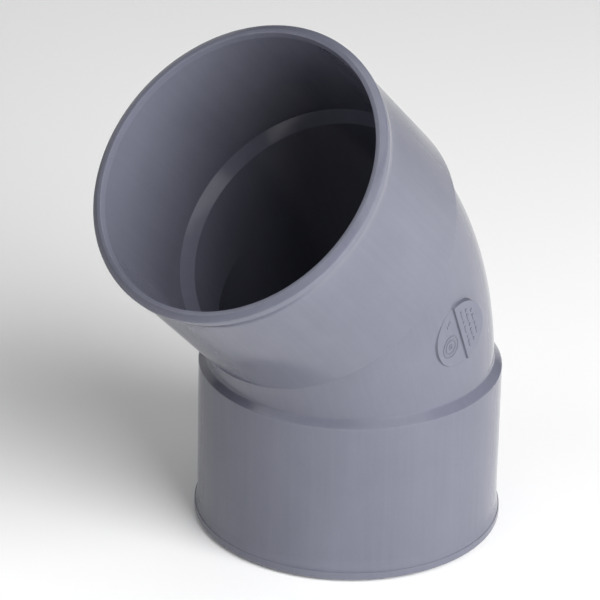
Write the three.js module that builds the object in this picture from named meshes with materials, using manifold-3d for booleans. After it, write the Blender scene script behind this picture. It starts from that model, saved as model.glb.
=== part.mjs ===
// 45 degree PVC-U elbow with two plain solvent-weld sockets for 100 mm pipe.
//
// The real fitting is one injection moulding. It is modelled as its moulded regions, each a closed
// solid of its own: the curved bend, a socket sleeve on each end of it, a rim bead round each
// mouth, and the flat marking pad on the side of the bend. Millimetres, +Z up. The lower socket
// stands on its mouth with its axis vertical, the upper socket leans towards -X, and the origin is
// the centre of the footprint of the whole fitting, on the plane it stands on.

import * as THREE from 'three';
import { mergeVertices } from 'three/addons/utils/BufferGeometryUtils.js';
import Module from 'manifold-3d';

// ---- driving dimensions -------------------------------------------------------------------
const BEND_ANGLE = THREE.MathUtils.degToRad(45);
const LEG = 90; // mouth of either socket to the point where the two socket axes cross
const SOCKET_DEPTH = 56; // mouth to pipe stop
const SOCKET_BORE_R = 50.15; // at the root, for a pipe of 100 mm outside diameter
const SOCKET_OUTER_R = 53.5;
const SOCKET_OUTER_LENGTH = 59.7; // mouth to the corner of the shoulder cone
const SHOULDER_CORNER = 0.5; // how far the rounding of that corner reaches along each face
const SHOULDER_REACH = 3.3; // length of the 45 degree shoulder cone, measured along the axis

const BEND_OUTER_R = 50.7;
const BEND_BORE_R = 46.4;
const LEDGE_DEPTH = 3.7; // the pipe stop is a cone this deep

const LEAD_IN_R = 50.45; // bore radius where the lead-in chamfer of the mouth ends
const LEAD_IN_DEPTH = 2.3;
const RIM_INNER_R = 51.05; // flat ring on the mouth, inner and outer edge
const RIM_FLAT_R = 52.5;
const RIM_OUTER_R = 54.65; // outside of the rim bead
const RIM_BEVEL = 1.3; // depth of the blunt outer bevel of the bead
const RIM_CORNER = { inwards: 0.55, up: 0.6, tip: 0.25, down: 0.2 }; // rounding below that bevel
const BEAD_DRAFT = 0.1; // how much the bead narrows towards its foot
const BEAD_DEPTH = 3.9; // mouth to the crease at the foot of the bead
const FLARE_R = 54.35; // wall radius under the bead
const FLARE_DEPTH = 8.2; // mouth to the end of the flare that runs down into the plain wall
const FLARE_EASE = { outwards: 0.15, depth: 6.3 }; // control point of the flare's curve

const PAD_R = 12; // edge of the face, which the side wall of the pad widens from
const PAD_FOOT_R = 12.5;
const PAD_SHIFT = 1.85; // pad centre from the bend's centreline, towards the outside of the bend
const PAD_SINK = 0.1; // how far the low half of the face lies below the flank of the bend
const PAD_STEP = 1; // rise from the low half to the high half
const PAD_SEAT = 2.5; // depth of the seat in the bend wall, below the flank

const GAP = 0.3; // clearance kept between neighbouring solids
const SEGMENTS = 60; // facets round a full circle
const BEND_STEPS = 12; // facets along the bend
const BORE_START = THREE.MathUtils.degToRad(8); // bend angle where the plain bore begins
const BORE_STEPS = 10; // even, so that one section lies on the mitre plane
const CURVE_POINTS = 4; // points along each rounded stretch of a turned outline
const ROOT_SHARE = 0.4; // share of the bend that is cleared out of each socket's shoulder
const ROOT_STEPS = 10;
const WELD_DISTANCE = 1e-4; // points closer than this are one point

const WALL_GREY = 0x8f919e;
const RIM_GREY = 0x868894;
const BEND_GREY = 0x9496a2;
const ROUGHNESS = 0.34;

// ---- worked out from them -----------------------------------------------------------------
const STOP_REACH = LEG - SOCKET_DEPTH; // axes' crossing point to either pipe stop
const BEND_R = STOP_REACH / Math.tan(BEND_ANGLE / 2); // centreline radius of the bend
const BEND_CENTRE = new THREE.Vector3(-BEND_R, 0, SOCKET_DEPTH);
const SIDEWAYS = new THREE.Vector3(0, 1, 0);
const PAD_CENTRE = bendAxisPoint(BEND_ANGLE / 2) // on the flank line of the bend's -Y side
  .addScaledVector(outward(BEND_ANGLE / 2), PAD_SHIFT)
  .addScaledVector(SIDEWAYS, -BEND_OUTER_R);

const wasm = await Module();
wasm.setup();

// ---- shape helpers ------------------------------------------------------------------------

// Direction in the bend plane that points from the bend's centre out through its section at angle.
function outward(angle) {
  return new THREE.Vector3(Math.cos(angle), 0, Math.sin(angle));
}

function bendAxisPoint(angle) {
  return BEND_CENTRE.clone().addScaledVector(outward(angle), BEND_R);
}

// Ring of points round centre. radiusAt gives the radius at each turn, counted from the outward
// direction of the bend.
function ring(centre, angle, radiusAt) {
  const out = outward(angle);
  return Array.from({ length: SEGMENTS }, (_, i) => {
    const turn = (2 * Math.PI * i) / SEGMENTS;
    const radius = radiusAt(turn);
    return centre.clone()
      .addScaledVector(out, radius * Math.cos(turn))
      .addScaledVector(SIDEWAYS, radius * Math.sin(turn));
  });
}

// Closed surface through a loop of rings, the last one joined back to the first.
function closedBand(rings) {
  const positions = rings.flat().flatMap((point) => point.toArray());
  const indices = [];
  for (let r = 0; r < rings.length; r += 1) {
    const here = r * SEGMENTS;
    const next = ((r + 1) % rings.length) * SEGMENTS;
    for (let i = 0; i < SEGMENTS; i += 1) {
      const j = (i + 1) % SEGMENTS;
      indices.push(here + i, here + j, next + j, here + i, next + j, next + i);
    }
  }
  const geometry = new THREE.BufferGeometry();
  geometry.setAttribute('position', new THREE.Float32BufferAttribute(positions, 3));
  geometry.setIndex(indices);
  geometry.computeVertexNormals();
  return geometry;
}

// Ring-shaped solid turned about Z from a closed path of (radius, depth below the mouth).
function turned(path) {
  const profile = path.getPoints(CURVE_POINTS);
  profile.push(profile[0].clone());
  return new THREE.LatheGeometry(profile, SEGMENTS).rotateX(Math.PI / 2);
}

function toSolid(geometry) {
  const bare = geometry.clone();
  bare.deleteAttribute('normal');
  bare.deleteAttribute('uv');
  const merged = mergeVertices(bare, WELD_DISTANCE);
  return new wasm.Manifold(new wasm.Mesh({
    numProp: 3,
    vertProperties: new Float32Array(merged.attributes.position.array),
    triVerts: new Uint32Array(merged.index.array),
  }));
}

function cut(geometry, ...tools) {
  const solid = tools.reduce((left, tool) => left.subtract(toSolid(tool)), toSolid(geometry));
  const mesh = solid.getMesh();
  const result = new THREE.BufferGeometry();
  result.setAttribute('position', new THREE.BufferAttribute(mesh.vertProperties, 3));
  result.setIndex(new THREE.BufferAttribute(mesh.triVerts, 1));
  result.computeVertexNormals();
  return result;
}

// Centreline of the bend from just inside the lower socket to past its shoulder, by arc length
// from the pipe stop.
class RootLine extends THREE.Curve {
  getPoint(t, target = new THREE.Vector3()) {
    const length = THREE.MathUtils.lerp(-GAP, BEND_R * BEND_ANGLE * ROOT_SHARE, t);
    if (length < 0) return target.set(0, 0, SOCKET_DEPTH + length);
    return target.copy(bendAxisPoint(length / BEND_R));
  }
}

// ---- sub-parts ----------------------------------------------------------------------------

// Rim bead: a blunt ring with a narrow flat on the mouth, a lead-in chamfer towards the bore and a
// rounded bevel outside. It stands proud of the wall and ends in a crease.
function rimGeometry() {
  const path = new THREE.Path()
    .moveTo(RIM_INNER_R, 0)
    .lineTo(RIM_FLAT_R, 0)
    .lineTo(RIM_OUTER_R - RIM_CORNER.inwards, RIM_BEVEL - RIM_CORNER.up)
    .quadraticCurveTo(
      RIM_OUTER_R, RIM_BEVEL - RIM_CORNER.tip,
      RIM_OUTER_R, RIM_BEVEL + RIM_CORNER.down,
    )
    .lineTo(RIM_OUTER_R - BEAD_DRAFT, BEAD_DEPTH)
    .lineTo(LEAD_IN_R, LEAD_IN_DEPTH);
  return turned(path);
}

// Socket sleeve: plain bore with a slight draft, plain wall that flares a little under the bead,
// and a 45 degree shoulder cone that runs down onto the bend.
function socketGeometry() {
  const coneEnd = SOCKET_OUTER_LENGTH + SHOULDER_REACH;
  const path = new THREE.Path()
    .moveTo(LEAD_IN_R, LEAD_IN_DEPTH + GAP)
    .lineTo(FLARE_R, BEAD_DEPTH + GAP)
    .quadraticCurveTo(
      SOCKET_OUTER_R + FLARE_EASE.outwards, FLARE_EASE.depth,
      SOCKET_OUTER_R, FLARE_DEPTH,
    )
    .lineTo(SOCKET_OUTER_R, SOCKET_OUTER_LENGTH - SHOULDER_CORNER)
    .quadraticCurveTo(
      SOCKET_OUTER_R, SOCKET_OUTER_LENGTH,
      SOCKET_OUTER_R - SHOULDER_CORNER, SOCKET_OUTER_LENGTH + SHOULDER_CORNER,
    )
    .lineTo(SOCKET_OUTER_R - SHOULDER_REACH, coneEnd)
    .lineTo(SOCKET_BORE_R, coneEnd)
    .lineTo(SOCKET_BORE_R, SOCKET_DEPTH - GAP);
  const section = new THREE.Shape().absarc(0, 0, BEND_OUTER_R + GAP, 0, 2 * Math.PI, false);
  const bendClearance = new THREE.ExtrudeGeometry(section, {
    steps: ROOT_STEPS,
    curveSegments: SEGMENTS / 2,
    bevelEnabled: false,
    extrudePath: new RootLine(),
  });
  return cut(turned(path), bendClearance);
}

// Radius of the bore of the bend. The two halves are straight out to the mitre plane, where they
// meet in a sharp edge on the inside of the bend. On the outside of the bend the bore is rounded.
function boreRadius(turn, angle) {
  const fromEnd = Math.min(angle, BEND_ANGLE - angle);
  const along = Math.cos(fromEnd);
  const drift = BEND_R * (along - 1);
  const a = (Math.cos(turn) * along) ** 2 + Math.sin(turn) ** 2;
  const b = 2 * Math.cos(turn) * along * drift;
  const c = drift ** 2 - BEND_BORE_R ** 2;
  const straight = (-b + Math.sqrt(b * b - 4 * a * c)) / (2 * a);
  return Math.min(BEND_BORE_R, straight);
}

// Bend: a round arc outside, ending at both pipe stops, with the conical ledges that the pipes
// butt against and a seat for the marking pad in the flank that faces -Y.
function bendGeometry() {
  const outer = [];
  for (let step = 0; step <= BEND_STEPS; step += 1) {
    const angle = (BEND_ANGLE * step) / BEND_STEPS;
    outer.push(ring(bendAxisPoint(angle), angle, () => BEND_OUTER_R));
  }
  const bore = [];
  for (let step = BORE_STEPS; step >= 0; step -= 1) {
    const share = step / BORE_STEPS;
    const angle = THREE.MathUtils.lerp(BORE_START, BEND_ANGLE - BORE_START, share);
    bore.push(ring(bendAxisPoint(angle), angle, (turn) => boreRadius(turn, angle)));
  }
  const upperEnd = bendAxisPoint(BEND_ANGLE);
  const downUpperLeg = new THREE.Vector3(Math.sin(BEND_ANGLE), 0, -Math.cos(BEND_ANGLE));
  const lowerEnd = bendAxisPoint(0);
  const upLowerLeg = new THREE.Vector3(0, 0, 1);
  const ledge = (end, inward, angle) => [
    ring(end, angle, () => SOCKET_BORE_R),
    ring(end.clone().addScaledVector(inward, LEDGE_DEPTH), angle, () => BEND_BORE_R),
  ];
  const upperLedge = ledge(upperEnd, downUpperLeg, BEND_ANGLE);
  const lowerLedge = ledge(lowerEnd, upLowerLeg, 0).reverse();
  const wall = closedBand([...outer, ...upperLedge, ...bore, ...lowerLedge]);

  const seatR = PAD_FOOT_R + GAP;
  const seatHeight = 10; // enough to reach out clear of the bend
  const seat = new THREE.CylinderGeometry(seatR, seatR, seatHeight, SEGMENTS);
  seat.translate(PAD_CENTRE.x, PAD_CENTRE.y + PAD_SEAT - seatHeight / 2, PAD_CENTRE.z);
  return cut(wall, seat);
}

// Marking pad: a flat disc square to the flank of the bend. One step across the middle, which runs
// the way the bend's centreline does there, parts a low half from a high half. It is modelled
// about its own centre, facing -Y, with the high half towards +X.
function padGeometry() {
  const foot = PAD_SEAT - GAP;
  const face = PAD_SINK - PAD_STEP;
  const disc = new THREE.CylinderGeometry(PAD_FOOT_R, PAD_R, foot - face, SEGMENTS);
  disc.translate(0, (foot + face) / 2, 0);
  const low = new THREE.BoxGeometry(PAD_FOOT_R * 2, PAD_STEP * 2, PAD_FOOT_R * 3);
  low.translate(-PAD_FOOT_R, face, 0);
  return cut(disc, low);
}

// ---- assembly -----------------------------------------------------------------------------

function plastic(color) {
  return new THREE.MeshStandardMaterial({ color, roughness: ROUGHNESS, metalness: 0 });
}

function sleeveWithRim(side) {
  const socket = new THREE.Mesh(socketGeometry(), plastic(WALL_GREY));
  socket.name = `${side}_socket`;
  const rim = new THREE.Mesh(rimGeometry(), plastic(RIM_GREY));
  rim.name = `${side}_rim`;
  const sleeve = new THREE.Group();
  sleeve.add(socket, rim);
  return sleeve;
}

const fitting = new THREE.Group();

const lower = sleeveWithRim('lower');
fitting.add(lower);

const upper = sleeveWithRim('upper');
upper.position.set(-LEG * Math.sin(BEND_ANGLE), 0, LEG + LEG * Math.cos(BEND_ANGLE));
upper.rotation.set(0, Math.PI - BEND_ANGLE, Math.PI);
fitting.add(upper);

const bend = new THREE.Mesh(bendGeometry(), plastic(BEND_GREY));
bend.name = 'bend';
fitting.add(bend);

const pad = new THREE.Mesh(padGeometry(), plastic(BEND_GREY));
pad.name = 'marking_pad';
pad.position.copy(PAD_CENTRE);
pad.rotation.y = -BEND_ANGLE / 2;
fitting.add(pad);

// Centre the footprint on the origin. The lower mouth is already on Z = 0.
fitting.updateMatrixWorld(true);
const footprint = new THREE.Box3().setFromObject(fitting, true);
fitting.position.x = -footprint.getCenter(new THREE.Vector3()).x;

const group = new THREE.Group();
group.add(fitting);

export default group;
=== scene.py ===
"""Looks of the 45 degree PVC-U elbow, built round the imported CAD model, in metres.

The fitting is one moulding, so all its pieces share one plastic, and every seam between two
pieces lies in a real edge of the moulding.
"""

import math

import bmesh
import bpy
from mathutils import Matrix, Vector


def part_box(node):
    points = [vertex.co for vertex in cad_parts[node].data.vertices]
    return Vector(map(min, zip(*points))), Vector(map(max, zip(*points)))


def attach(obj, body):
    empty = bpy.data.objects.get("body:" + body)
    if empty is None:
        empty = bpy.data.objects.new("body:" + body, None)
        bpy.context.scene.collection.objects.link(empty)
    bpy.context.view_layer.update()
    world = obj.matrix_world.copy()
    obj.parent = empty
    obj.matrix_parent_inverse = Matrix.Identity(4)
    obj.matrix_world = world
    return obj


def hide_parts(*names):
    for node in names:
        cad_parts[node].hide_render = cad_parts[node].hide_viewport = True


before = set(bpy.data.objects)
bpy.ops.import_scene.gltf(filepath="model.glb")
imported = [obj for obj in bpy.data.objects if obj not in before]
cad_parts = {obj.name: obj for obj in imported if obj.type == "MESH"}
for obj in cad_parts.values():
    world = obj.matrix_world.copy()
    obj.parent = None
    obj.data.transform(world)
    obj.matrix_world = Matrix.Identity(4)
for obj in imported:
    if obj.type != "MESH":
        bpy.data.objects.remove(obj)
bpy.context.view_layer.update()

# ---- dimensions, in millimetres, within 0.15 mm of the CAD wherever both have them --------
MM = 0.001
BEND_ANGLE = math.radians(45)
LEG = 90.0
SOCKET_DEPTH = 56.0
SOCKET_BORE_R = 50.15
SOCKET_OUTER_R = 53.5
SHOULDER_DEPTH = 59.7  # mouth to the corner of the shoulder cone
BEND_OUTER_R = 50.7
BEND_BORE_R = 46.4
LEDGE_DEPTH = 3.8
LEAD_IN_R = 50.45
LEAD_IN_DEPTH = 2.3
RIM_INNER_R = 51.05
RIM_FLAT_R = 52.5
RIM_OUTER_R = 54.65
RIM_BEVEL = 1.35
BEAD_DRAFT = 0.14  # how much the bead narrows towards its foot
BEAD_DEPTH = 3.9
FLARE_R = 54.32
FLARE_CONTROL = (53.6, 6.3)  # control point of the flare's curve, as (radius, depth)
FLARE_DEPTH = 8.2
PAD_R = 12.0
PAD_SHIFT = 1.85
PAD_LOW = 0.04  # face of the pad's low half, out from the flank of the bend
PAD_HIGH = 0.9
PAD_EDGE = 0.22  # rounding of the face's edge
PAD_DRAFT = 0.3
PAD_FILLET = 0.45
PAD_SUNK = 1.2  # how far the pad goes on under the flank
MARK_RELIEF = 0.28
MARK_SUNK = 0.1
SHOULDER_FILLET = 0.55
CREASE = math.radians(32)  # edges sharper than this are shaded as edges

SEGMENTS = 288  # points round a full circle, finer than the CAD's facets
HALF_BEND_STEPS = 36

STOP_REACH = LEG - SOCKET_DEPTH
BEND_R = STOP_REACH / math.tan(BEND_ANGLE / 2)
BEND_CENTRE = Vector((-BEND_R, 0, SOCKET_DEPTH))
MIDDLE = BEND_ANGLE / 2

rim_low, rim_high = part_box("lower_rim")
AXIS_X = (rim_low.x + rim_high.x) / 2  # the lower socket's axis, in the frame


# ---- shape helpers: points are in millimetres, with the lower socket's axis on Z ----------
def outward(angle):
    return Vector((math.cos(angle), 0, math.sin(angle)))


def along(angle):
    return Vector((-math.sin(angle), 0, math.cos(angle)))


def bend_point(angle, turn, radius):
    """Point on the bend's section at angle, turned about the centreline from the outward side."""
    return (
        BEND_CENTRE
        + outward(angle) * (BEND_R + radius * math.cos(turn))
        + Vector((0, radius * math.sin(turn), 0))
    )


def bend_coordinates(point):
    """(angle, turn) of a point, the reverse of bend_point."""
    offset = point - BEND_CENTRE
    angle = math.atan2(offset.z, offset.x)
    return angle, math.atan2(point.y, math.hypot(offset.x, offset.z) - BEND_R)


def mirrored(rings):
    """The same rings on the other leg: reflected in the middle plane of the bend."""
    normal = along(MIDDLE)
    return [
        [p - normal * (2 * (p - BEND_CENTRE).dot(normal)) for p in ring] for ring in rings
    ]


def flat_ring(radius, depth):
    turns = (2 * math.pi * i / SEGMENTS for i in range(SEGMENTS))
    return [Vector((radius * math.cos(t), radius * math.sin(t), depth)) for t in turns]


def rounded(corners, step=math.radians(10)):
    """Path through corners given as (radius, depth, rounding), with an arc at each rounding."""
    path = []
    for i, (x, y, rounding) in enumerate(corners):
        here = Vector((x, y))
        if rounding == 0 or i in (0, len(corners) - 1):
            path.append((x, y))
            continue
        to_last = (Vector(corners[i - 1][:2]) - here).normalized()
        to_next = (Vector(corners[i + 1][:2]) - here).normalized()
        half = to_last.angle(to_next) / 2
        centre = here + (to_last + to_next).normalized() * (rounding / math.sin(half))
        start = here + to_last * (rounding / math.tan(half)) - centre
        end = here + to_next * (rounding / math.tan(half)) - centre
        sweep = math.pi - 2 * half
        side = math.copysign(1, start.x * end.y - start.y * end.x)
        count = max(2, math.ceil(sweep / step))
        for k in range(count + 1):
            turned = start.copy()
            turned.rotate(Matrix.Rotation(side * sweep * k / count, 2))
            path.append(tuple(centre + turned))
    return path


def quadratic(start, control, end, count):
    """Points after start up to end on a quadratic curve."""
    return [
        start * (1 - t) ** 2 + control * (2 * t * (1 - t)) + end * t**2
        for t in (k / count for k in range(1, count + 1))
    ]


def spread(start, end, count):
    """Points after start up to end on a straight line of (radius, depth)."""
    a, b = Vector(start), Vector(end)
    return [tuple(a.lerp(b, k / count)) for k in range(1, count + 1)]


def bisect(function, low, high):
    falling = function(low) > 0
    for _ in range(50):
        middle = (low + high) / 2
        if (function(middle) > 0) == falling:
            low = middle
        else:
            high = middle
    return (low + high) / 2


def bend_reach(turn, depth, radius):
    """Distance from the leg's axis to the bend's surface of that radius, in a plane square to it."""

    def miss(reach):
        x, y = reach * math.cos(turn), reach * math.sin(turn)
        over = math.hypot(x + BEND_R, depth - SOCKET_DEPTH) - BEND_R
        return math.hypot(over, y) - radius

    return bisect(miss, radius - 6, radius + 6)


def make_piece(name, loops, nodes, material):
    """Closed mesh through a loop of rings, the last joined back to the first."""
    bm = bmesh.new()
    rings = [[bm.verts.new(p * MM + Vector((AXIS_X, 0, 0))) for p in ring] for ring in loops]
    for a, b in zip(rings, rings[1:] + rings[:1]):
        for i in range(len(a)):
            j = (i + 1) % len(a)
            bm.faces.new((a[i], a[j], b[j], b[i]))
    return finish_piece(bm, name, nodes, material)


def finish_piece(bm, name, nodes, material):
    bmesh.ops.recalc_face_normals(bm, faces=bm.faces)
    mesh = bpy.data.meshes.new(name)
    bm.to_mesh(mesh)
    bm.free()
    mesh.shade_smooth()
    mesh.set_sharp_from_angle(angle=CREASE)
    mesh.materials.append(material)
    piece = bpy.data.objects.new(name, mesh)
    bpy.context.scene.collection.objects.link(piece)
    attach(piece, "root")
    if nodes:
        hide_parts(*nodes)
    return piece


# ---- rings of the moulding ----------------------------------------------------------------
def rim_rings():
    path = rounded(
        [
            (LEAD_IN_R, LEAD_IN_DEPTH, 0),
            (RIM_INNER_R, 0, 0.25),
            (RIM_FLAT_R, 0, 0.3),
            (RIM_OUTER_R, RIM_BEVEL, 0.7),
            (RIM_OUTER_R - BEAD_DRAFT, BEAD_DEPTH, 0.08),
            (FLARE_R, BEAD_DEPTH, 0),
        ]
    )
    return [flat_ring(r, d) for r, d in path]


def shoulder_rings():
    """From the cone's last plain ring, through the fillet in its foot, onto the bend."""
    foot, corner, start = [], [], []
    for i in range(SEGMENTS):
        turn = 2 * math.pi * i / SEGMENTS

        def point(reach, depth, turn=turn):
            return Vector((reach * math.cos(turn), reach * math.sin(turn), depth))

        def cone_r(depth):
            return SOCKET_OUTER_R - (depth - SHOULDER_DEPTH)

        depth = bisect(
            lambda d: cone_r(d) - bend_reach(turn, d, BEND_OUTER_R),
            SHOULDER_DEPTH + 1,
            SHOULDER_DEPTH + 5,
        )
        back = depth - SHOULDER_FILLET * math.sqrt(0.5)
        past = depth + SHOULDER_FILLET
        start.append(point(cone_r(back), back))
        corner.append(point(cone_r(depth), depth))
        foot.append(point(bend_reach(turn, past, BEND_OUTER_R), past))
    curves = [quadratic(s, c, f, 5) for s, c, f in zip(start, corner, foot)]
    return [start] + [list(ring) for ring in zip(*curves)]


SHOULDER = shoulder_rings()


def socket_rings():
    flare = quadratic(
        Vector((FLARE_R, BEAD_DEPTH)),
        Vector(FLARE_CONTROL),
        Vector((SOCKET_OUTER_R, FLARE_DEPTH)),
        8,
    )
    outside = [(FLARE_R, BEAD_DEPTH)] + [tuple(p) for p in flare]
    outside += spread(outside[-1], (SOCKET_OUTER_R, SHOULDER_DEPTH - 1), 9)
    outside += rounded(
        [
            (SOCKET_OUTER_R, SHOULDER_DEPTH - 0.7, 0),
            (SOCKET_OUTER_R, SHOULDER_DEPTH, 0.45),
            (SOCKET_OUTER_R - 1, SHOULDER_DEPTH + 1, 0),
        ]
    )
    bore = [(SOCKET_BORE_R, SOCKET_DEPTH)]
    bore += spread(bore[-1], (LEAD_IN_R, LEAD_IN_DEPTH), 9)
    return (
        [flat_ring(r, d) for r, d in outside] + SHOULDER + [flat_ring(r, d) for r, d in bore]
    )


def bore_radius(turn, angle):
    """The bore is straight in both halves out to the mitre, and rounded outside the bend."""
    run = math.cos(angle)
    drift = BEND_R * (run - 1)
    a = (math.cos(turn) * run) ** 2 + math.sin(turn) ** 2
    b = 2 * math.cos(turn) * run * drift
    c = drift**2 - BEND_BORE_R**2
    return min(BEND_BORE_R, (-b + math.sqrt(b * b - 4 * a * c)) / (2 * a))


def half_bend_outside():
    """Rings from the shoulder's foot to the middle plane."""
    starts = [bend_coordinates(p) for p in SHOULDER[-1]]
    rings = []
    for k in range(HALF_BEND_STEPS + 1):
        t = k / HALF_BEND_STEPS
        ring = []
        for i, (angle, turn) in enumerate(starts):
            even = 2 * math.pi * i / SEGMENTS
            turn += round((even - turn) / (2 * math.pi)) * 2 * math.pi
            ring.append(
                bend_point(
                    angle + (MIDDLE - angle) * t, turn + (even - turn) * t, BEND_OUTER_R
                )
            )
        rings.append(ring)
    return rings


def half_bend_inside():
    """Rings from the pipe stop's outer edge, over the ledge, to the middle plane."""
    ledge_end = SOCKET_DEPTH + LEDGE_DEPTH
    path = rounded(
        [
            (SOCKET_BORE_R, SOCKET_DEPTH, 0),
            (BEND_BORE_R, ledge_end, 0.35),
            (BEND_BORE_R, ledge_end + 1.2, 0),
        ]
    )
    rings = []
    for radius, depth in path:
        share = (SOCKET_BORE_R - radius) / (SOCKET_BORE_R - BEND_BORE_R)
        ring = []
        for i in range(SEGMENTS):
            turn = 2 * math.pi * i / SEGMENTS
            pull = BEND_BORE_R - bend_reach(turn, depth, BEND_BORE_R)
            reach = radius - share * max(pull, 0)
            ring.append(Vector((reach * math.cos(turn), reach * math.sin(turn), depth)))
        rings.append(ring)
    starts = [bend_coordinates(p) for p in rings[-1]]
    shares = [k / HALF_BEND_STEPS for k in range(1, HALF_BEND_STEPS)] + [0.985, 1]
    for t in shares:
        ring = []
        for i, (angle, turn) in enumerate(starts):
            even = 2 * math.pi * i / SEGMENTS
            turn += round((even - turn) / (2 * math.pi)) * 2 * math.pi
            now, at = angle + (MIDDLE - angle) * t, turn + (even - turn) * t
            ring.append(bend_point(now, at, bore_radius(at, now)))
        rings.append(ring)
    return rings


def bend_rings():
    outside, inside = half_bend_outside(), half_bend_inside()
    return (
        outside + mirrored(outside)[-2::-1] + mirrored(inside) + inside[-2::-1]
    )


# ---- marking pad --------------------------------------------------------------------------
PAD_ORIGIN = BEND_CENTRE + outward(MIDDLE) * (BEND_R + PAD_SHIFT)


def pad_point(across, up, height):
    """across runs towards the outside of the bend, up along it, height out from its flank."""
    return (
        PAD_ORIGIN
        + outward(MIDDLE) * across
        + along(MIDDLE) * up
        + Vector((0, -BEND_OUTER_R - height, 0))
    )


def flank_height(across, up):
    """Height of the bend's own surface there, 0 on the line along its flank."""
    flat = PAD_ORIGIN + outward(MIDDLE) * across + along(MIDDLE) * up - BEND_CENTRE
    over = math.hypot(flat.x, flat.z) - BEND_R
    return math.sqrt(BEND_OUTER_R**2 - over**2) - BEND_OUTER_R


def pad_face_height(across):
    """Low half, a step with a little draft and rounded edges, then the high half."""
    t = min(max(across / 0.3 + 0.5, 0), 1)
    return PAD_LOW + (PAD_HIGH - PAD_LOW) * t * t * (3 - 2 * t)


def make_pad(material):
    bm = bmesh.new()
    angles = [math.radians(-90 + 3 * k) for k in range(1, 60)]
    rows = sorted(
        {round(PAD_R * math.sin(a), 5) for a in angles}
        | {k * 0.05 for k in range(-4, 5)}
    )
    rows = [-PAD_R] + rows + [PAD_R]
    top, bottom = [], []

    def side(across, up, length):
        """Points down the side wall at one place on the edge, from the face to the foot."""
        unit = Vector((across, up)) / length
        face = pad_face_height(across)
        drop = face - flank_height(across, up)
        foot_r = length + PAD_DRAFT * max(drop, 0) / 2.5
        soft = min(PAD_EDGE, abs(drop) / 2 + 0.02)
        flow = min(PAD_FILLET, abs(drop) / 2 + 0.05)
        points = []
        for r, h in (
            (length - soft * 0.3, face - soft * 0.08),
            (length - soft * 0.08, face - soft * 0.3),
            (length, face - soft),
        ):
            points.append((unit * r, h))
        base = foot_r + flow
        ground = flank_height(*(unit * base))
        start = Vector((foot_r, ground + flow))
        corner = Vector((foot_r, ground))
        end = Vector((base, ground))
        points.append((unit * start.x, start.y))
        for p in quadratic(start, corner, end, 4):
            points.append((unit * p.x, p.y))
        points.append((unit * base, ground - PAD_SUNK))
        return [pad_point(p.x, p.y, h) for p, h in points]

    def vertex(point):
        return bm.verts.new(point * MM + Vector((AXIS_X, 0, 0)))

    steps = 12
    grid = []
    scale = (PAD_R - PAD_EDGE) / PAD_R
    for s in rows:
        reach = math.sqrt(max(PAD_R**2 - s**2, 0))
        if reach < 1e-6:
            grid.append([vertex(pad_point(s * scale, 0, pad_face_height(s)))])
            continue
        ups = (reach * scale * (2 * k / steps - 1) for k in range(steps + 1))
        grid.append([vertex(pad_point(s * scale, up, pad_face_height(s))) for up in ups])
    for a, b in zip(grid, grid[1:]):
        if len(a) == 1 or len(b) == 1:
            tip, row = (a[0], b) if len(a) == 1 else (b[0], a)
            for k in range(len(row) - 1):
                bm.faces.new((tip, row[k], row[k + 1]))
            continue
        for k in range(steps):
            bm.faces.new((a[k], a[k + 1], b[k + 1], b[k]))
    upper = [(s, math.sqrt(max(PAD_R**2 - s**2, 0)), g[-1]) for s, g in zip(rows, grid)]
    lower = [(s, -math.sqrt(max(PAD_R**2 - s**2, 0)), g[0]) for s, g in zip(rows, grid)]
    loop = upper + lower[-2:0:-1]
    walls = [[v] + [vertex(p) for p in side(s, t, PAD_R)] for s, t, v in loop]
    for a, b in zip(walls, walls[1:] + walls[:1]):
        for k in range(len(a) - 1):
            bm.faces.new((a[k], a[k + 1], b[k + 1], b[k]))
    bm.faces.new([w[-1] for w in walls])
    return finish_piece(bm, "marking_pad_face", ["marking_pad"], material)


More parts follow.
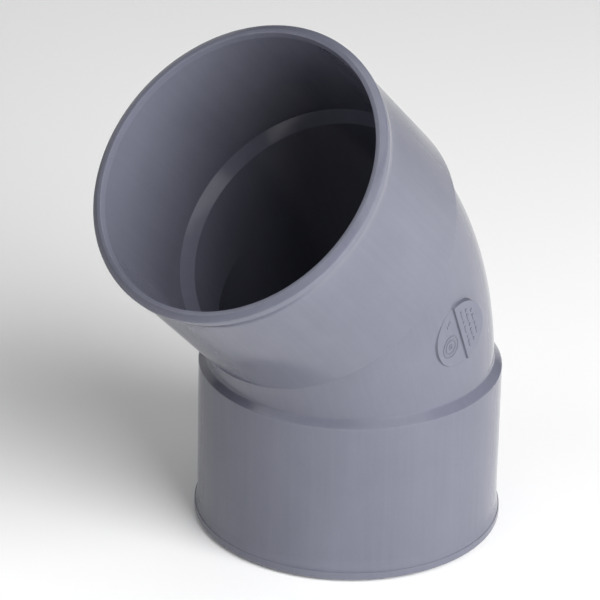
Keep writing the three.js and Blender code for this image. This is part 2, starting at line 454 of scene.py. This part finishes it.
def make_marks(material):
    """Plain raised marks in place of lettering: rings on the low half, bars on the high half."""
    bm = bmesh.new()

    def ridge(points, width, height, closed=False):
        """Raised line with sloping sides along points of (across, up)."""
        count = len(points)
        sections = []
        for k, p in enumerate(points):
            a = points[(k - 1) % count] if closed or k > 0 else p
            b = points[(k + 1) % count] if closed or k < count - 1 else p
            way = (Vector(b) - Vector(a)).normalized()
            normal = Vector((-way.y, way.x))
            base = pad_face_height(p[0])
            sections.append(
                [
                    bm.verts.new(
                        pad_point(*(Vector(p) + normal * offset), base + lift) * MM
                        + Vector((AXIS_X, 0, 0))
                    )
                    for offset, lift in (
                        (-width / 2, -MARK_SUNK),
                        (-width * 0.42, height * 0.55),
                        (-width * 0.24, height * 0.95),
                        (width * 0.24, height * 0.95),
                        (width * 0.42, height * 0.55),
                        (width / 2, -MARK_SUNK),
                    )
                ]
            )
        pairs = list(zip(sections, sections[1:] + (sections[:1] if closed else [])))
        for a, b in pairs:
            for k in range(6):
                bm.faces.new((a[k], a[(k + 1) % 6], b[(k + 1) % 6], b[k]))
        if not closed:
            bm.faces.new(sections[0])
            bm.faces.new(sections[-1][::-1])

    def circle(centre, radius, width, height):
        count = 48
        ridge(
            [
                (
                    centre[0] + radius * math.cos(2 * math.pi * k / count),
                    centre[1] + radius * math.sin(2 * math.pi * k / count),
                )
                for k in range(count)
            ],
            width,
            height,
            closed=True,
        )

    ring_centre = (-5.6, -1.6)
    circle(ring_centre, 3.9, 0.55, MARK_RELIEF)
    circle(ring_centre, 2.5, 0.5, MARK_RELIEF)
    circle(ring_centre, 0.8, 0.7, MARK_RELIEF)
    for k in range(3):
        across, up = -4.6 + 0.9 * k, 6.2 + 0.5 * k
        ridge([(across, up), (across, up + 1.2)], 0.45, MARK_RELIEF * 0.8)
    bars = (
        (2.6, ((-8.0, -5.2), (-4.2, -3.0), (-1.6, 1.4), (2.6, 3.6), (4.8, 8.2))),
        (5.0, ((-7.2, -6.0), (-4.8, -1.6), (-0.4, 0.6), (1.8, 5.0), (6.2, 7.4))),
        (7.4, ((-5.6, -3.2), (-2.0, -0.8), (0.6, 3.0), (4.2, 5.4))),
    )
    for across, spans in bars:
        for low, high in spans:
            ridge([(across, low), (across, high)], 0.9, MARK_RELIEF)
    return finish_piece(bm, "marking_pad_marks", None, material)


# ---- plastic ------------------------------------------------------------------------------
PVC_DARK = (0.119, 0.123, 0.160, 1)
PVC_LIGHT = (0.137, 0.141, 0.182, 1)
PVC_SCUFF = (0.19, 0.195, 0.235, 1)
PVC_SPECK = (0.088, 0.09, 0.108, 1)
ROUGHNESS = 0.15  # mean over the surface


class Nodes:
    """Short forms for building one material's node tree."""

    def __init__(self, material):
        material.use_nodes = True
        self.tree = material.node_tree
        self.shader = self.tree.nodes["Principled BSDF"]

    def add(self, kind, links=None, values=None, **settings):
        node = self.tree.nodes.new(kind)
        for key, value in settings.items():
            setattr(node, key, value)
        for key, value in (values or {}).items():
            node.inputs[key].default_value = value
        for key, source in (links or {}).items():
            self.tree.links.new(source, node.inputs[key])
        return node.outputs[0]

    def noise(self, place, scale, detail=2.0, roughness=0.5):
        """Noise with features of about 1/scale metres."""
        return self.add(
            "ShaderNodeTexNoise",
            {"Vector": place},
            {"Scale": scale, "Detail": detail, "Roughness": roughness},
        )

    def span(self, value, low, high, to_low=0.0, to_high=1.0):
        """Map a range of values onto another, held at its ends."""
        return self.add(
            "ShaderNodeMapRange",
            {"Value": value},
            {"From Min": low, "From Max": high, "To Min": to_low, "To Max": to_high},
        )

    def math(self, operation, a, b):
        links, values = {}, {}
        for index, item in enumerate((a, b)):
            (values if isinstance(item, (int, float)) else links)[index] = item
        return self.add("ShaderNodeMath", links, values, operation=operation)

    def blend(self, share, a, b):
        """Colour a where share is 0, b where it is 1."""
        node = self.tree.nodes.new("ShaderNodeMix")
        node.data_type = "RGBA"
        for key, item in (("A", a), ("B", b)):
            socket = next(s for s in node.inputs if s.name == key and s.type == "RGBA")
            if isinstance(item, tuple):
                socket.default_value = item
            else:
                self.tree.links.new(item, socket)
        self.tree.links.new(share, node.inputs[0])
        return next(s for s in node.outputs if s.type == "RGBA")

    def edge_distance(self, leg, edges):
        """Distance in metres to the nearest of the circles round the leg's axis."""
        parts = self.tree.nodes.new("ShaderNodeSeparateXYZ")
        self.tree.links.new(leg, parts.inputs[0])
        x, y, depth = parts.outputs
        flat = self.add("ShaderNodeCombineXYZ", {"X": x, "Y": y})
        reach = self.tree.nodes.new("ShaderNodeVectorMath")
        reach.operation = "LENGTH"
        self.tree.links.new(flat, reach.inputs[0])
        profile = self.add("ShaderNodeCombineXYZ", {"X": reach.outputs["Value"], "Y": depth})
        nearest = None
        for radius, at in edges:
            gap = self.tree.nodes.new("ShaderNodeVectorMath")
            gap.operation = "DISTANCE"
            self.tree.links.new(profile, gap.inputs[0])
            gap.inputs[1].default_value = (radius * MM, at * MM, 0)
            gap = gap.outputs["Value"]
            nearest = gap if nearest is None else self.math("MINIMUM", nearest, gap)
        return nearest


def plastic(name, tilt, mouth=None, edges=()):
    """Grey PVC-U as moulded.

    tilt turns the fine drawing lines onto the leg's own axis. Each edge is the (radius, depth)
    of a circle that gets rubbed, in millimetres from the leg's axis and mouth.
    """
    material = bpy.data.materials.new(name)
    n = Nodes(material)
    place = n.tree.nodes.new("ShaderNodeTexCoord").outputs["Object"]
    leg = n.add(
        "ShaderNodeMapping",
        {"Vector": place},
        {"Location": mouth or (0, 0, 0), "Rotation": (0, tilt, 0)},
        vector_type="TEXTURE",
    )
    drawn = n.add("ShaderNodeMapping", {"Vector": leg}, {"Scale": (1, 1, 0.035)})

    clouds = n.noise(place, 26, 3, 0.55)
    grain = n.noise(place, 900, 2)
    lines = n.noise(drawn, 420, 3, 0.6)
    tone = n.math("ADD", n.math("MULTIPLY", clouds, 0.62), n.math("MULTIPLY", lines, 0.26))
    tone = n.math("ADD", tone, n.math("MULTIPLY", grain, 0.12))
    colour = n.blend(n.span(tone, 0.36, 0.64), PVC_DARK, PVC_LIGHT)

    specks = n.tree.nodes.new("ShaderNodeTexVoronoi")
    specks.inputs["Scale"].default_value = 210
    n.tree.links.new(place, specks.inputs["Vector"])
    chosen = n.span(n.noise(place, 60, 1), 0.6, 0.64)
    dots = n.math("MULTIPLY", n.span(specks.outputs["Distance"], 0.02, 0.07, 0.4, 0), chosen)
    colour = n.blend(dots, colour, PVC_SPECK)

    gloss = n.span(n.noise(place, 60, 4, 0.6), 0.3, 0.7, ROUGHNESS - 0.03, ROUGHNESS + 0.03)
    if edges:
        nearest = n.edge_distance(leg, edges)
        patches = n.span(n.noise(place, 120, 5, 0.65), 0.42, 0.66)
        rubbed = n.math("MULTIPLY", n.span(nearest, 0.0003, 0.0011, 1, 0), patches)
        colour = n.blend(n.math("MULTIPLY", rubbed, 0.12), colour, PVC_SCUFF)
        gloss = n.math("ADD", gloss, n.math("MULTIPLY", rubbed, 0.06))
    n.tree.links.new(colour, n.shader.inputs["Base Color"])
    n.tree.links.new(gloss, n.shader.inputs["Roughness"])
    n.shader.inputs["IOR"].default_value = 1.48

    relief = n.math("ADD", n.math("MULTIPLY", lines, 0.5), n.math("MULTIPLY", grain, 0.3))
    relief = n.math("ADD", relief, n.noise(place, 95, 3))
    bump = n.add("ShaderNodeBump", {"Height": relief}, {"Strength": 0.08, "Distance": 0.0004})
    n.tree.links.new(bump, n.shader.inputs["Normal"])
    return material


MOUTH_EDGES = ((RIM_INNER_R, 0.1), (RIM_OUTER_R - 0.3, 1.4), (SOCKET_OUTER_R, SHOULDER_DEPTH))
UPPER_MOUTH = (
    Vector((0, 0, LEG)) + along(BEND_ANGLE) * LEG
) * MM + Vector((AXIS_X, 0, 0))
pvc = plastic("pvc_bend", -MIDDLE)
pvc_lower = plastic("pvc_lower", 0, (AXIS_X, 0, 0), MOUTH_EDGES)
pvc_upper = plastic("pvc_upper", math.pi - BEND_ANGLE, UPPER_MOUTH, MOUTH_EDGES)
rim = rim_rings()
socket = socket_rings()
make_piece("lower_rim_bead", rim, ["lower_rim"], pvc_lower)
make_piece("upper_rim_bead", mirrored(rim), ["upper_rim"], pvc_upper)
make_piece("lower_socket_wall", socket, ["lower_socket"], pvc_lower)
make_piece("upper_socket_wall", mirrored(socket), ["upper_socket"], pvc_upper)
make_piece("bend_wall", bend_rings(), ["bend"], pvc)
make_pad(pvc)
make_marks(pvc)

# ---- studio -------------------------------------------------------------------------------
scene = bpy.context.scene
scene.view_settings.view_transform = "Standard"
scene.view_settings.look = "None"

FLOOR_REACH = 6  # metres from the middle of the floor to its sides
floor_mesh = bpy.data.meshes.new("studio_floor")
floor_corners = [(x * FLOOR_REACH, y * FLOOR_REACH, 0) for x, y in ((-1, -1), (1, -1), (1, 1), (-1, 1))]
floor_mesh.from_pydata(floor_corners, [], [(0, 1, 2, 3)])
floor = bpy.data.objects.new("studio_floor", floor_mesh)
scene.collection.objects.link(floor)
floor_material = bpy.data.materials.new("studio_white")
floor_material.use_nodes = True
floor_shader = floor_material.node_tree.nodes["Principled BSDF"]
floor_shader.inputs["Base Color"].default_value = (0.92, 0.92, 0.92, 1)
floor_shader.inputs["Roughness"].default_value = 0.9
floor_shader.inputs["Specular IOR Level"].default_value = 0
floor_shader.inputs["Emission Color"].default_value = (1, 1, 1, 1)
floor_shader.inputs["Emission Strength"].default_value = 0.05
floor_mesh.materials.append(floor_material)

world = bpy.data.worlds.new("studio")
world.use_nodes = True
world.node_tree.nodes["Background"].inputs["Color"].default_value = (1, 1, 1, 1)
world.node_tree.nodes["Background"].inputs["Strength"].default_value = 0.02
scene.world = world


def softbox(name, bearing, elevation, distance, width, height, radiance, mirrored_in_gloss=True):
    """Panel lamp facing the fitting; bearing runs anticlockwise from +X, angles in degrees.

    A lamp that isn't mirrored in gloss lights the plastic but gives it no highlight.
    """
    lamp = bpy.data.lights.new(name, "AREA")
    lamp.shape = "RECTANGLE"
    lamp.size, lamp.size_y = width, height
    lamp.energy = radiance * math.pi * width * height
    panel = bpy.data.objects.new(name, lamp)
    turn, lift = math.radians(bearing), math.radians(elevation)
    way = Vector(
        (math.cos(turn) * math.cos(lift), math.sin(turn) * math.cos(lift), math.sin(lift))
    )
    panel.location = Vector((0, 0, 0.1)) + way * distance
    panel.rotation_euler = way.to_track_quat("Z", "Y").to_euler()
    panel.visible_glossy = mirrored_in_gloss
    scene.collection.objects.link(panel)
    return panel


softbox("key", -99, 26, 1.6, 1.3, 1.6, 7.1, mirrored_in_gloss=False)
softbox("sheen", -100, 38, 1.6, 1.4, 1.5, 1.0)
softbox("backdrop", 60, 11, 2.2, 3.4, 0.9, 0.6)
softbox("fill", 155, 43, 1.6, 1.0, 0.9, 1.6)
softbox("overhead", 0, 88, 1.6, 1.2, 1.2, 1.1)

# ---- camera: far off with a long lens, left of the fitting and above it -------------------
AZIMUTH = math.radians(-50.847)
ELEVATION = math.radians(26.081)
ROLL = math.radians(1.149)
DISTANCE = 1.37527
SHIFT_RIGHT, SHIFT_UP = -0.018106, 0.001382  # of the point that the camera looks at
back = Vector(
    (
        math.sin(AZIMUTH) * math.cos(ELEVATION),
        -math.cos(AZIMUTH) * math.cos(ELEVATION),
        math.sin(ELEVATION),
    )
)
level = Vector((math.cos(AZIMUTH), math.sin(AZIMUTH), 0))
rise = back.cross(level)
right = level * math.cos(ROLL) + rise * math.sin(ROLL)
up = -level * math.sin(ROLL) + rise * math.cos(ROLL)
target = Vector((AXIS_X, 0, 0.9 * LEG * MM)) + right * SHIFT_RIGHT + up * SHIFT_UP
camera_data = bpy.data.cameras.new("camera")
camera_data.lens = 235.616
camera_data.sensor_width = 36
camera = bpy.data.objects.new("camera", camera_data)
camera.matrix_world = Matrix(
    [
        (right.x, up.x, back.x, 0),
        (right.y, up.y, back.y, 0),
        (right.z, up.z, back.z, 0),
        (0, 0, 0, 1),
    ]
)
camera.location = target + back * DISTANCE
scene.collection.objects.link(camera)
scene.camera = camera
